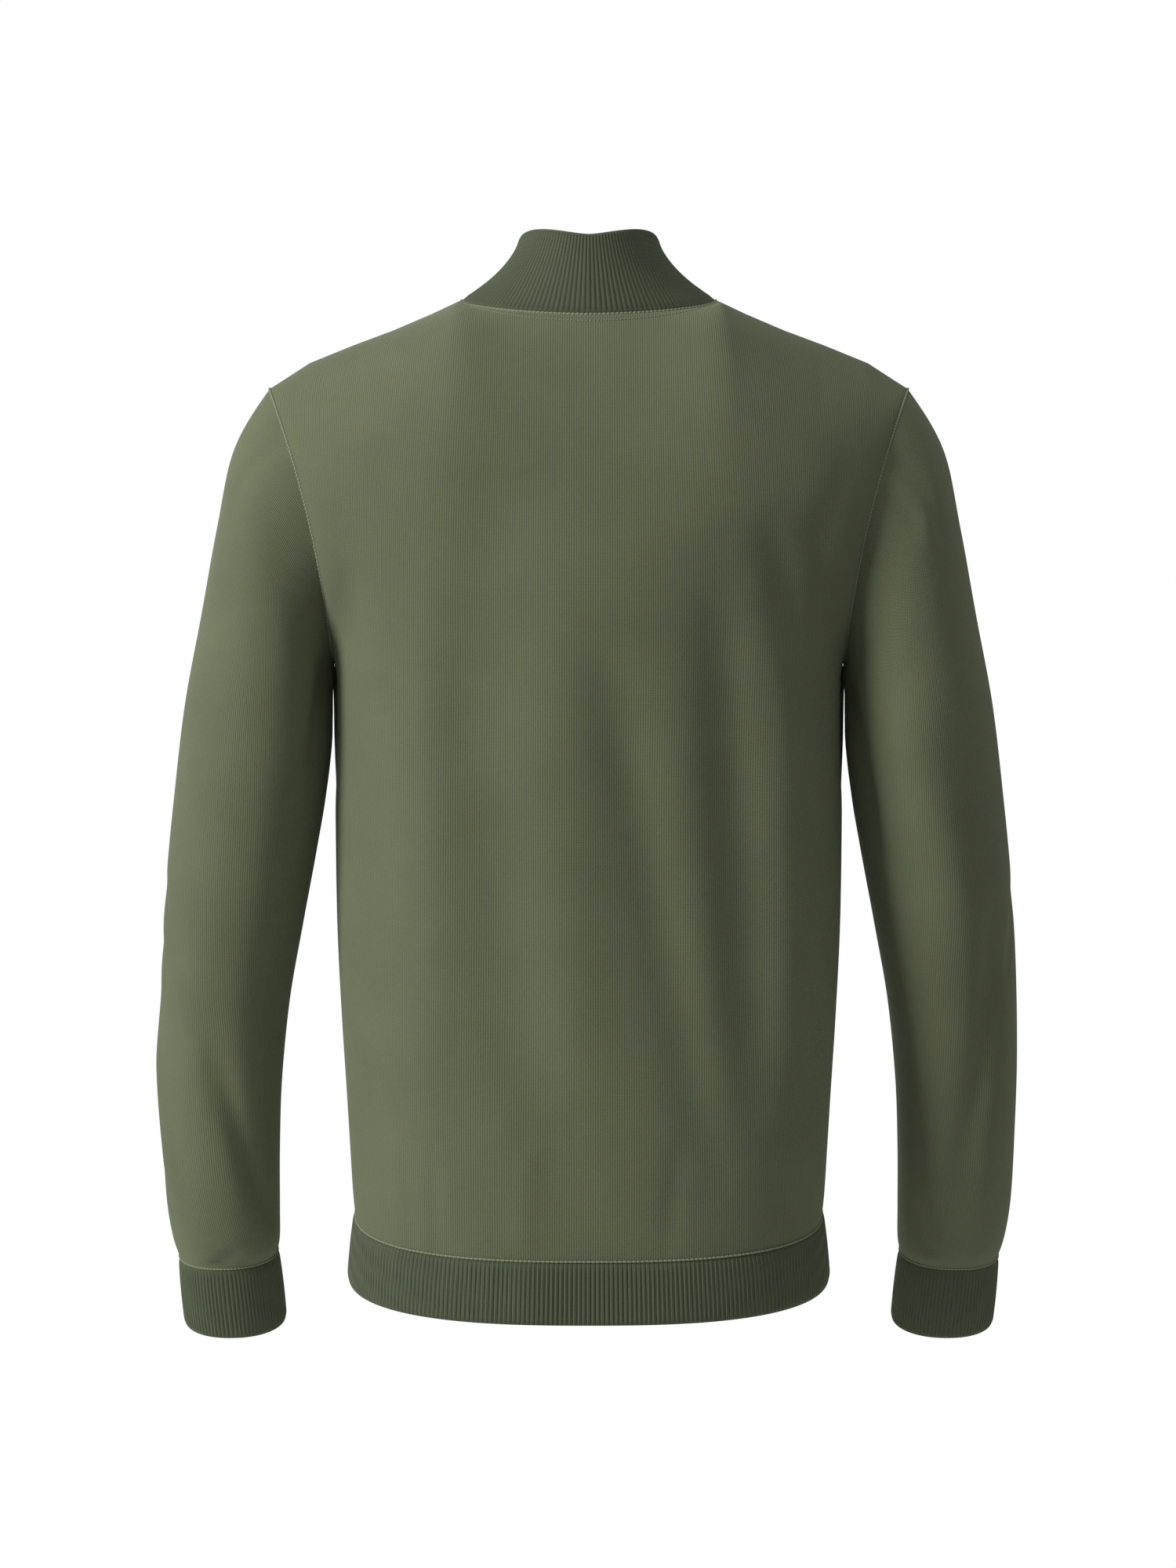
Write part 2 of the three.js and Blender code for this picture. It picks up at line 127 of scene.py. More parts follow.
# Sizes, in millimetres, on the same cut as the frame.
BODY_SQUARENESS = 2.6
SLEEVE_SQUARENESS = 2.15
UNDERARM_Z = -240.0
NECK_SHARE = 5 / 11
JERSEY_WALL = 1.6
RIB_WALL = 2.0

NECK = {"half_width": 87.5, "back": 52.0, "front": 68.0, "back_z": -6.0, "side_z": 9.0, "front_z": -34.0}
COLLAR_TOP = {
    "half_width": 48.3, "middle_y": -19.0, "half_depth": 61.0,
    "middle_z": 39.8, "tilt": 9.8, "rise": 11.3,
}
COLLAR_FLARE = 1.55
ARMHOLE = {"top_x": 219.5, "top_z": -52.0, "bottom_x": 175.0}
ARMHOLE_DEPTH = {Side.BACK: 64.0, Side.FRONT: 62.0}
ARMHOLE_BOW = {Side.BACK: 8.5, Side.FRONT: 15.0}

TRUNK = Table(("z", "half_width", "back", "front", "back_drop", "front_drop"), (
    (-616, 160.2, 111, 132, 25, 16),
    (-598, 162.0, 114, 135, 23, 15),
    (-570, 163.8, 116, 137, 20, 13),
    (-532, 166.2, 117, 137, 16, 10),
    (-480, 169.6, 117, 136, 11, 7),
    (-420, 172.6, 117, 134, 6, 4),
    (-350, 173.8, 118, 133, 3, 2),
    (-290, 174.0, 118, 132, 1, 1),
    (UNDERARM_Z, 175.0, 118, 131, 0, 0),
))
HEM_EDGE = {
    "z": -658.0, "half_width": 164.6, "back": 114.0,
    "front": 134.0, "back_drop": 25.0, "front_drop": 16.0,
}
SHOULDER = {"x": (87.5, 108.0, 135.0, 162.0, 192.0, 219.5), "z": (9.0, -0.5, -12.0, -22.0, -34.0, -52.0)}

# The slit below the underarm, between the body's flank and the sleeve, and the shallow S across it.
SLIT = {"x": 176.0, "top_z": -236.0, "bottom_z": -345.0, "shift": 2.6, "turn_over": 9.0, "reach": 42.0}

# A sleeve's folds are placed on a plain tube of this length and radius.
SLEEVE_LENGTH = 620.0
SLEEVE_RADIUS = 55.0

SLEEVE = Table(("outer_x", "outer_z", "inner_x", "inner_z", "middle_y", "half_depth", "tip"), (
    (219.5, -52, 175, UNDERARM_Z, 1, 63, 0),
    (243, -91, 177, -258, 1, 68, 0),
    (255.3, -148, 177.4, -276, 2, 71, 0),
    (266, -208, 178.0, -300, 3, 72, 0),
    (277, -268, 180.6, -330, 4, 71.5, 0),
    (284.5, -330, 187, -368, 3, 69, 1),
    (290.5, -390, 197, -421, 0, 65, 3),
    (294.5, -450, 206.5, -473, -8, 60, 6),
    (296.3, -511, 212.6, -529, -18, 55.5, 9),
    (295.7, -562, 214.8, -577, -28, 51.5, 12),
    (294.2, -608, 215.5, -619, -38, 47, 14),
    (290.6, -635, 215.8, -640, -43, 42, 15),
    (285.8, -652, 217.6, -650, -46, 33.5, 15),
))
CUFF = Table(SLEEVE.columns, (SLEEVE.rows[-1], (283, -699, 213, -698, -60, 30, 22)))

# Folds of the panels: X and Z of the top, X and Z of the bottom, width and height. A height below zero
# is a trough.
PANEL_FOLDS = {
    Side.BACK: (
        (62, -110, 78, -310, 30, -4.5),
        (74, -300, 22, -600, 26, -4),
        (116, -210, 108, -560, 26, 4),
        (20, -200, 12, -540, 30, 3.5),
        (-14, -250, -84, -590, 20, -5.5),
        (-86, -200, -110, -545, 19, -7.5),
        (-136, -200, -142, -530, 16, 4),
        (-122, -160, -168, -345, 12, -5),
        (146, -330, 152, -590, 17, -5),
        (132, -560, 126, -628, 5, 1.2),
        (104, -575, 100, -640, 6, -1.0),
        (-150, -412, -174, -424, 6, -2.0),
        (-60, -560, -52, -640, 8, -1.2),
        (40, -565, 44, -640, 9, 1.0),
        (178, -120, 150, -240, 12, -2.0),
        (-182, -100, -150, -170, 12, -2.0),
    ),
    Side.FRONT: (
        (-66, -140, -80, -380, 30, -4),
        (58, -180, 84, -470, 26, -5),
        (4, -220, -18, -560, 30, 4),
        (112, -220, 116, -540, 24, 4.5),
        (-112, -230, -98, -580, 26, 4),
        (166, -130, 120, -250, 14, -3),
        (-168, -130, -118, -260, 13, -3.4),
        (140, -420, 158, -560, 12, -2),
        (-30, -560, -36, -630, 8, -1.2),
    ),
}

# Folds of a sleeve: turn and share of the top, turn and share of the bottom, width and height. Turns are in
# degrees (0 the underarm, 90 the back, 180 outside) and shares run from the armhole (0) to the cuff (1).
SLEEVE_FOLDS = {
    Arm.LEFT: (
        (28, 0.04, 36, 0.34, 9, -5),
        (176, 0.50, 120, 0.57, 7, -2.2),
        (178, 0.55, 130, 0.62, 6, -2.0),
        (170, 0.60, 112, 0.64, 8, -1.6),
        (176, 0.63, 138, 0.82, 13, 3.0),
        (98, 0.62, 20, 0.86, 14, -4.5),
        (300, 0.20, 345, 0.42, 12, -4),
        (250, 0.48, 320, 0.60, 10, -3),
        (120, 0.00, 140, 0.12, 7, -1.6),
        (75, 0.90, 100, 0.985, 10, -2),
        (230, 0.70, 290, 0.88, 13, -3),
    ),
    Arm.RIGHT: (
        (18, 0.06, 38, 0.42, 9, -5),
        (80, 0.26, 100, 0.55, 15, 3),
        (128, 0.52, 84, 0.80, 13, -4.5),
        (176, 0.50, 140, 0.58, 7, -1.8),
        (112, 0.00, 128, 0.14, 6, -2.2),
        (96, 0.00, 110, 0.10, 6, -1.8),
        (304, 0.22, 340, 0.44, 12, -4),
        (246, 0.50, 316, 0.58, 10, -3),
        (40, 0.80, 66, 0.93, 12, -2.5),
        (236, 0.66, 280, 0.86, 13, -3),
    ),
}


def smooth(value: np.ndarray) -> np.ndarray:
    """Eases a value from 0 to 1: three times its square less twice its cube, clipped at both ends."""
    held = np.clip(value, 0.0, 1.0)
    return held**2 * (3 - 2 * held)


def mix(start: np.ndarray, end: np.ndarray, share: np.ndarray) -> np.ndarray:
    """The point a share of the way from start to end."""
    return start + (end - start) * share


def linear(code: str) -> tuple[float, float, float, float]:
    """Turns an sRGB hex colour into linear red, green, blue and alpha."""
    parts = np.array([int(code[i : i + 2], 16) for i in (1, 3, 5)]) / 255
    low, high = parts / 12.92, ((parts + 0.055) / 1.055) ** 2.4
    return (*np.where(parts <= 0.04045, low, high).tolist(), 1.0)


def armhole(side: Side, turn: np.ndarray) -> np.ndarray:
    """Points of an armhole: an upright ellipse bowed inwards, from the underarm (0) to the shoulder (pi)."""
    sin, cos = np.sin(turn), np.cos(turn)
    middle_x = (ARMHOLE["top_x"] + ARMHOLE["bottom_x"]) / 2
    middle_z = (ARMHOLE["top_z"] + UNDERARM_Z) / 2
    x = middle_x - (middle_x - ARMHOLE["bottom_x"]) * cos - ARMHOLE_BOW[side] * sin**2
    return np.stack([x, ARMHOLE_DEPTH[side] * sin, middle_z - (middle_z - UNDERARM_Z) * cos], axis=-1)


def neckline(side: Side, across: np.ndarray) -> np.ndarray:
    """Points of the neck seam: a quarter ellipse in plan from the panel's middle (0) to the shoulder (1)."""
    turn = across * pi / 2
    rise = np.maximum(0.0, 1 - np.cos(turn)) ** 0.9
    z = mix(NECK[f"{side.key}_z"], NECK["side_z"], rise)
    return np.stack([NECK["half_width"] * np.sin(turn), NECK[side.key] * np.cos(turn), z], axis=-1)


def shoulder_height(x: np.ndarray) -> np.ndarray:
    """Height of the shoulder line at a distance from the middle: the cubic nearest to its listed points."""
    return np.polyval(np.polyfit(SHOULDER["x"], SHOULDER["z"], 3), x)


def top_edge(side: Side, off: np.ndarray) -> np.ndarray:
    """Points of a panel's top edge, from its middle (0) by the neck point to the shoulder point (1)."""
    seam = neckline(side, np.minimum(1.0, off / NECK_SHARE))
    past = np.clip((off - NECK_SHARE) / (1 - NECK_SHARE), 0, 1)
    x = mix(NECK["half_width"], ARMHOLE["top_x"], past)
    shoulder = np.stack([x, np.zeros_like(x), np.interp(x, SHOULDER["x"], SHOULDER["z"])], axis=-1)
    return np.where((off <= NECK_SHARE)[..., None], seam, shoulder)


def softened_spread(side: Side, off: np.ndarray) -> np.ndarray:
    """The top edge's X with its corner at the neck point rounded off: an average under a squared cosine."""
    widest, bell = 0.2, 0.22
    reaches = np.linspace(-widest, widest, 17)
    weights = np.cos(reaches / bell * pi / 2) ** 2
    total = np.zeros_like(off)
    for reach, weight in zip(reaches, weights / weights.sum()):
        place = off + reach
        inside = np.where(place > 1, 2 - place, np.abs(place))
        x = top_edge(side, inside)[..., 0]
        x = np.where(place > 1, 2 * ARMHOLE["top_x"] - x, x * np.sign(place))
        total = total + weight * x
    return total


def section_shares(across: np.ndarray) -> tuple[np.ndarray, np.ndarray]:
    """Shares of the half width and depth on a rounded square.

    They are a sine and a cosine, each to the power 2 over the squareness.
    """
    turn = across**1.3 * pi / 2
    power = 2 / BODY_SQUARENESS
    return np.sin(turn) ** power, np.maximum(0.0, np.cos(turn)) ** power


def fold_lift(folds: tuple, x: np.ndarray, z: np.ndarray) -> np.ndarray:
    """Sums soft folds: each a bell across its line, faded in and out along it."""
    lift = np.zeros(np.broadcast(x, z).shape)
    for top_x, top_z, bottom_x, bottom_z, width, height in folds:
        along_x, along_z = bottom_x - top_x, bottom_z - top_z
        length = np.hypot(along_x, along_z)
        along = ((x - top_x) * along_x + (z - top_z) * along_z) / length**2
        aside = ((x - top_x) * along_z - (z - top_z) * along_x) / length
        overrun, ease = 0.15, 0.4
        fade = smooth((along + overrun) / ease) * smooth((1 + overrun - along) / ease)
        lift = lift + height * np.exp(-((aside / width) ** 2)) * fade
    return lift


def lean_into_slit(points: np.ndarray) -> np.ndarray:
    """Bends the body's flank and the sleeve beside it into one shallow S, to narrow the straight way between.

    Near the slit, points move sideways by minus a hyperbolic tangent of y, under a bell over y.
    """
    x, y, z = np.abs(points[..., 0]), points[..., 1], points[..., 2]
    window = smooth((z - SLIT["bottom_z"]) / 60) * smooth((SLIT["top_z"] - z) / 16)
    near = smooth((20 - np.abs(x - SLIT["x"])) / 12)
    bell = np.exp(-((y / SLIT["reach"]) ** 2))
    shift = -SLIT["shift"] * np.tanh(y / SLIT["turn_over"]) * bell * window * near
    moved = points.copy()
    moved[..., 0] += np.sign(points[..., 0]) * shift
    return moved


def arc_lengths(points: np.ndarray, middle: int) -> np.ndarray:
    """Distances along each row of a grid from its middle column, and along each column from the first row."""
    steps = np.linalg.norm(np.diff(points, axis=1), axis=-1)
    across = np.concatenate([np.zeros((len(points), 1)), np.cumsum(steps, axis=1)], axis=1)
    across -= across[:, middle : middle + 1]
    rises = np.linalg.norm(np.diff(points, axis=0), axis=-1)
    up = np.concatenate([np.zeros((1, points.shape[1])), np.cumsum(rises, axis=0)], axis=0)
    return np.stack([across, up], axis=-1)


def grid_normals(points: np.ndarray, closed: bool) -> np.ndarray:
    """Unit normals of a grid: the cross product of the steps along its columns and its rows."""
    if closed:
        wrapped = np.concatenate([points[:, -2:-1], points, points[:, 1:2]], axis=1)
        across = (wrapped[:, 2:] - wrapped[:, :-2]) / 2
    else:
        across = np.gradient(points, axis=1)
    normals = np.cross(across, np.gradient(points, axis=0))
    return normals / np.maximum(np.linalg.norm(normals, axis=-1, keepdims=True), 1e-9)


def ridges(phase: np.ndarray) -> np.ndarray:
    """Rounded ridges, one for each half turn: the size of a cosine to the power 0.7."""
    return np.abs(np.cos(phase)) ** 0.7


def armhole_ring(turn: np.ndarray) -> np.ndarray:
    """The whole left armhole, from the underarm (0) by the back to the shoulder (pi) and down the front."""
    back = armhole(Side.BACK, turn)
    front = armhole(Side.FRONT, 2 * pi - turn) * np.array([1, -1, 1])
    return np.where((turn <= pi)[..., None], back, front)


class Cloth:
    """A grid of points made into a walled mesh that rides on the body and stands for its frame node."""

    @staticmethod
    def mesh(name: str, points: np.ndarray, closed: bool, flipped: bool, uv: np.ndarray) -> bpy.types.Object:
        """Makes a smooth mesh from a grid.

        Each cell of the grid is one face. A closed grid's last column repeats its first and is joined to it.

        Args:
            name: The object's name.
            points: Rows by columns by three, in millimetres.
            closed: Whether the columns go all the way round.
            flipped: Whether the faces turn the other way to look outwards.
            uv: Rows by columns by two, the distances along the cloth in millimetres.

        Returns:
            The new object.
        """
        rows, columns = points.shape[:2]
        used = columns - 1 if closed else columns
        row, column = np.meshgrid(np.arange(rows - 1), np.arange(columns - 1), indexing="ij")
        corners = [(row, column), (row, column + 1), (row + 1, column + 1), (row + 1, column)]
        if flipped:
            corners.reverse()
        faces = np.stack([r * used + (k % used) for r, k in corners], axis=-1).reshape(-1, 4)
        loops = np.stack([uv[r, k] for r, k in corners], axis=2).reshape(-1, 2)
        mesh = bpy.data.meshes.new(name)
        mesh.from_pydata((points[:, :used].reshape(-1, 3) * MM).tolist(), [], faces.tolist())
        layer = mesh.uv_layers.new(name="cloth")
        layer.data.foreach_set("uv", loops.astype(np.float32).ravel())
        mesh.polygons.foreach_set("use_smooth", np.ones(len(mesh.polygons), dtype=bool))
        mesh.update()
        piece = bpy.data.objects.new(name, mesh)
        bpy.context.scene.collection.objects.link(piece)
        return piece

    @staticmethod
    def wall(piece: bpy.types.Object, thickness: float) -> None:
        """Gives the cloth its thickness, behind its outer face."""
        solid = piece.modifiers.new("wall", "SOLIDIFY")
        solid.thickness = thickness * MM
        solid.offset = -1.0
        solid.use_rim = True

    @staticmethod
    def finish(piece: bpy.types.Object, node: str, slot: str, material: bpy.types.Material) -> None:
        """Dresses a piece, fixes it to the body and hides the frame node that it stands for."""
        piece.data.materials.append(material)
        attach(piece, BODY)
        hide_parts(node)
        LOG.info("%s: %d faces", piece.name, len(piece.data.polygons))


def add_node(tree: bpy.types.NodeTree, kind: str, settings: dict, links: dict) -> bpy.types.Node:
    """Adds a shader node.

    Args:
        tree: The node tree.
        kind: The node's type name.
        settings: Its properties, and its inputs' values by name or number.
        links: Output sockets for its inputs, by name or number.

    Returns:
        The new node.
    """
    node = tree.nodes.new(kind)
    for key, value in settings.items():
        if isinstance(key, str) and hasattr(node, key):
            setattr(node, key, value)
        else:
            node.inputs[key].default_value = value
    for key, socket in links.items():
        tree.links.new(socket, node.inputs[key])
    return node


@dataclass(frozen=True)
class KnitFinish:
    """Cotton yarn, dyed in the piece and knitted: matt, softly napped, with loops that catch the light.

    The loops stand in upright columns. Real ones are taken as 1.5 mm apart and 1.1 mm high; the jersey's are
    drawn a little coarser so that they show. Their colour is painted darker in the valleys and lighter on the
    tops, as painted shade and painted highlight, over a random fleck of lighter and darker fibres.
    """

    name: str
    light: str
    dark: str
    wale_mm: float
    course_mm: float
    depth_mm: float
    melange: float

    def material(self) -> bpy.types.Material:
        """Builds the finish from the cloth's own distances: a ridge for a column, and a V for a loop; the
        colour is painted darker where they sit low, as painted shade.
        """
        material = bpy.data.materials.new(self.name)
        material.use_nodes = True
        tree = material.node_tree
        tree.nodes.clear()
        uv = add_node(tree, "ShaderNodeUVMap", {"uv_map": "cloth"}, {})
        parts = add_node(tree, "ShaderNodeSeparateXYZ", {}, {0: uv.outputs[0]})
        turn = add_node(
            tree, "ShaderNodeMath", {"operation": "MULTIPLY", 1: pi / self.wale_mm}, {0: parts.outputs[0]}
        )
        wave = add_node(tree, "ShaderNodeMath", {"operation": "SINE"}, {0: turn.outputs[0]})
        wale = add_node(tree, "ShaderNodeMath", {"operation": "ABSOLUTE"}, {0: wave.outputs[0]})
        up = add_node(
            tree, "ShaderNodeMath", {"operation": "MULTIPLY", 1: 2 * pi / self.course_mm},
            {0: parts.outputs[1]},
        )
        slant = add_node(
            tree, "ShaderNodeMath", {"operation": "MULTIPLY_ADD", 1: 2.6},
            {0: wale.outputs[0], 2: up.outputs[0]},
        )
        loop = add_node(tree, "ShaderNodeMath", {"operation": "SINE"}, {0: slant.outputs[0]})
        high = add_node(
            tree, "ShaderNodeMath", {"operation": "MULTIPLY_ADD", 1: 0.22},
            {0: loop.outputs[0], 2: wale.outputs[0]},
        )
        place = add_node(tree, "ShaderNodeTexCoord", {}, {})
        fibre = add_node(
            tree, "ShaderNodeTexNoise", {"Scale": 900.0, "Detail": 3.0, "Roughness": 0.6},
            {"Vector": place.outputs["Object"]},
        )
        cloud = add_node(
            tree, "ShaderNodeTexNoise", {"Scale": 14.0, "Detail": 4.0, "Roughness": 0.55},
            {"Vector": place.outputs["Object"]},
        )
        # Painted shade: the colour darkens where the loops sit low, in the valleys between columns and loops,
        # and lightens on their tops, over a random fleck of fibres.
        fleck_and_valley_shade = add_node(
            tree, "ShaderNodeMath", {"operation": "MULTIPLY_ADD", 1: self.melange},
            {0: fibre.outputs["Fac"], 2: high.outputs[0]},
        )
        tone = add_node(
            tree, "ShaderNodeMapRange",
            {"From Min": -0.1, "From Max": 1.2 + self.melange, "To Min": 0.0, "To Max": 1.0},
            {"Value": fleck_and_valley_shade.outputs[0]},
        )
        base = add_node(
            tree, "ShaderNodeMix", {"data_type": "RGBA", 6: linear(self.dark), 7: linear(self.light)},
            {0: tone.outputs[0]},
        )
        shade = add_node(
            tree, "ShaderNodeMapRange", {"From Min": 0.3, "From Max": 0.7, "To Min": 0.93, "To Max": 1.07},
            {"Value": cloud.outputs["Fac"]},
        )
        # Painted shade carried on from the loops' height, brightened and darkened by up to 7 per cent in
        # broad random clouds.
        worn = add_node(
            tree, "ShaderNodeHueSaturation", {"Hue": 0.5, "Saturation": 1.0, "Fac": 1.0},
            {"Color": base.outputs[2], "Value": shade.outputs[0]},
        )
        height = add_node(
            tree, "ShaderNodeMath", {"operation": "MULTIPLY_ADD", 1: 0.5},
            {0: fibre.outputs["Fac"], 2: high.outputs[0]},
        )
        bump = add_node(
            tree, "ShaderNodeBump", {"Strength": 0.6, "Distance": self.depth_mm * MM},
            {"Height": height.outputs[0]},
        )
        rough = add_node(
            tree, "ShaderNodeMapRange", {"From Min": 0.0, "From Max": 1.0, "To Min": 0.82, "To Max": 0.96},
            {"Value": fibre.outputs["Fac"]},
        )
        napped = {
            "Sheen Weight": 0.25, "Sheen Roughness": 0.45, "Sheen Tint": linear("#b9c4a4"),
            "Specular IOR Level": 0.25,
        }
        cloth = add_node(
            tree, "ShaderNodeBsdfPrincipled", napped,
            {"Base Color": worn.outputs[0], "Roughness": rough.outputs[0], "Normal": bump.outputs[0]},
        )
        add_node(tree, "ShaderNodeOutputMaterial", {}, {0: cloth.outputs[0]})
        return material


@dataclass
class Panel:
    """The front or back of plain jersey, from the hem seam to the neck and shoulders."""

    side: Side
    columns: int = 161
    trunk_rows: int = 130
    yoke_rows: int = 80
    flat: tuple[float, float] = (0.54, 0.70)
    area: float = 0.315

    def trunk(self, row: dict, across: np.ndarray) -> np.ndarray:
        """Points of the trunk's rounded-square rows, whose middle hangs below their sides."""
        width, depth = section_shares(np.abs(across))
        x = np.sign(across) * row["half_width"] * width
        z = row["z"] - row[f"{self.side.key}_drop"] * depth
        return np.stack(np.broadcast_arrays(x, row[self.side.key] * depth, z), axis=-1)

    def yoke(self, rise: np.ndarray, across: np.ndarray) -> np.ndarray:
        """Points from the underarm row up to the neck and shoulder seams.

        Each column climbs on a rounded arc to its place on the top edge, while the edge column follows the
        armhole. The cloth near the armhole bulges as far as the armhole does.
        """
        off = np.abs(across)
        low = self.trunk(TRUNK.row(-1), off)
        corner = top_edge(self.side, off)
        spread = mix(softened_spread(self.side, off), corner[..., 0], rise**8)
        middle = 1 - smooth(off / (1.5 * NECK_SHARE))
        slope_x = mix(NECK["half_width"], ARMHOLE["top_x"], smooth(off) * off)
        slope = shoulder_height(slope_x)
        eased_z = mix(slope, NECK[f"{self.side.key}_z"], middle**1.5)
        top_y = mix(NECK[self.side.key] * middle, corner[..., 1], rise**5)
        top_z = mix(eased_z, corner[..., 2], rise**4)
        edge = armhole(self.side, rise * pi)
        last = np.radians(mix(62.0, 90.0, smooth(off / NECK_SHARE)))
        turn = last * rise**1.3
        power = 0.78
        climb = (np.sin(turn) / np.sin(last)) ** power
        end = np.maximum(0.0, np.cos(last)) ** power
        keep = (np.maximum(0.0, np.cos(turn)) ** power - end) / (1 - end)
        edge_climb = (1 - np.cos(rise * pi)) / 2
        bulge_power = 1 + np.minimum(1.0, 4 * (1 - off))
        sine = np.maximum(0.0, np.sin(rise * pi))
        bulge = ARMHOLE_DEPTH[self.side] * sine**bulge_power * off**2.2
        width = mix(section_shares(off)[0], spread / ARMHOLE["top_x"], smooth(rise))
        x = np.sign(across) * edge[..., 0] * width
        y = top_y + (low[..., 1] - top_y) * keep + bulge
        z = low[..., 2] + (top_z - low[..., 2]) * mix(climb, edge_climb, off**3)
        return np.stack(np.broadcast_arrays(x, y, z), axis=-1)

    def lifted(self, points: np.ndarray, across: np.ndarray) -> np.ndarray:
        """Adds the folds, which die away towards the side edges, and turns depths into Y."""
        lift = fold_lift(PANEL_FOLDS[self.side], points[..., 0], points[..., 2])
        lift = lift * (1 - np.abs(across) ** 8)
        moved = points.copy()
        moved[..., 1] = self.side.value * (points[..., 1] + lift)
        return lean_into_slit(moved)

    def grid(self) -> np.ndarray:
        """The whole panel, row by row from the hem seam up."""
        across = np.linspace(-1, 1, self.columns)[None, :]
        rows = TRUNK.read(np.linspace(0, 1, self.trunk_rows)[:, None])
        low = self.trunk(rows, across)
        high = self.yoke(np.linspace(0, 1, self.yoke_rows + 1)[1:, None], across)
        return self.lifted(np.concatenate([low, high]), across)

    def build(self, finish: bpy.types.Material, trims: dict[str, list]) -> None:
        points = self.grid()
        uv = arc_lengths(points, self.columns // 2)
        piece = Cloth.mesh(f"jersey_{self.side.key}", points, False, self.side is Side.BACK, uv)
        Cloth.wall(piece, JERSEY_WALL)
        Cloth.finish(piece, self.side.key, "jersey", finish)


@dataclass
class HemRib:
    """Half of the ribbed hem, with its ribs as real ridges."""

    side: Side
    ribs: int = 150
    rib_columns: int = 6
    rows: int = 15
    rib_height: float = 1.15
    flat: tuple[float, float] = (0.47, 0.045)

    def build(self, finish: bpy.types.Material, trims: dict[str, list]) -> None:
        """Mixes the lower edge and the seam row, lifts the folds and the ribs, and makes the mesh."""
        panel = Panel(self.side)
        columns = self.ribs * self.rib_columns + 1
        across = np.linspace(-1, 1, columns)[None, :]
        share = np.linspace(0, 1, self.rows)[:, None]
        low = panel.trunk(HEM_EDGE, across)
        high = panel.trunk(TRUNK.row(0), across)
        points = mix(low, high, share[..., None])
        lift = fold_lift(PANEL_FOLDS[self.side], high[..., 0], high[..., 2]) * share
        roll = 0.5 * np.sin(pi * share) ** 0.8
        points[..., 1] = self.side.value * (points[..., 1] + lift * (1 - np.abs(across) ** 8))
        normals = grid_normals(points, False) * (-1 if self.side is Side.BACK else 1)
        uv = arc_lengths(points, columns // 2)
        ridge = ridges(uv[..., :1] / uv[:, -1:, :1] * pi * self.ribs / 2)
        fade = smooth((1 - share) * 8)[..., None] * smooth(share * 14 + 0.3)[..., None]
        points = points + normals * (self.rib_height * ridge * fade + roll[..., None])
        piece = Cloth.mesh(f"rib_hem_{self.side.key}", points, False, self.side is Side.BACK, uv)
        Cloth.wall(piece, RIB_WALL)
        Cloth.finish(piece, f"hem_rib_{self.side.key}", "rib", finish)


def ring_points(rings: dict, turn: np.ndarray) -> np.ndarray:
    """Points of a sleeve's rings: a rounded oval between the inner and outer lines, tipped forward."""
    power = 2 / SLEEVE_SQUARENESS
    inward = np.sign(np.cos(turn)) * np.abs(np.cos(turn)) ** power
    backward = np.sign(np.sin(turn)) * np.abs(np.sin(turn)) ** power
    tip = np.radians(rings["tip"])
    middle_x = (rings["outer_x"] + rings["inner_x"]) / 2
    middle_z = (rings["outer_z"] + rings["inner_z"]) / 2
    x = middle_x + (rings["inner_x"] - middle_x) * inward
    y = rings["middle_y"] + rings["half_depth"] * backward * np.cos(tip)
    z = middle_z + (rings["inner_z"] - middle_z) * inward - rings["half_depth"] * backward * np.sin(tip)
    return np.stack(np.broadcast_arrays(x, y, z), axis=-1)


@dataclass
class Sleeve:
    """A jersey sleeve from its armhole to its cuff seam."""

    arm: Arm
    columns: int = 181
    rows: int = 180
    flat: tuple[float, float] = (0.46, 0.66)
    area: float = 0.215

    def grid(self) -> np.ndarray:
        """Rings from the armhole down, whose first rows leave the armhole's own curve."""
        share = np.linspace(0, 1, self.rows)[:, None]
        turn = np.linspace(0, 2 * pi, self.columns)[None, :]
        rings = ring_points(SLEEVE.read(share), turn)
        leaving = ((1 - smooth(share * 8)) ** 2)[..., None]
        points = mix(rings, armhole_ring(turn), leaving)
        normals = grid_normals(points, True)
        around, down = turn * SLEEVE_RADIUS, share * SLEEVE_LENGTH
        lift = np.zeros((self.rows, self.columns))
        for start_turn, start, end_turn, end, width, height in SLEEVE_FOLDS[self.arm]:
            top = (radians(start_turn) * SLEEVE_RADIUS, start * SLEEVE_LENGTH)
            bottom = (radians(end_turn) * SLEEVE_RADIUS, end * SLEEVE_LENGTH)
            lift = lift + fold_lift(((*top, *bottom, width, height),), around, down)
        seam_fade = smooth(turn * 3) * smooth((2 * pi - turn) * 3)
        end_fade = smooth(share * 22) * smooth((1 - share) * 30)
        points = lean_into_slit(points + normals * (lift * seam_fade * end_fade)[..., None])
        points[..., 0] *= self.arm.value
        return points

    def build(self, finish: bpy.types.Material, trims: dict[str, list]) -> None:
        """Makes the sleeve, whose columns of loops run down from the shoulder."""
        points = self.grid()
        uv = arc_lengths(points, self.columns // 2)
        piece = Cloth.mesh(f"jersey_sleeve_{self.arm.key}", points, True, self.arm is Arm.RIGHT, uv)
        Cloth.wall(piece, JERSEY_WALL)
        Cloth.finish(piece, f"sleeve_{self.arm.key}", "jersey", finish)


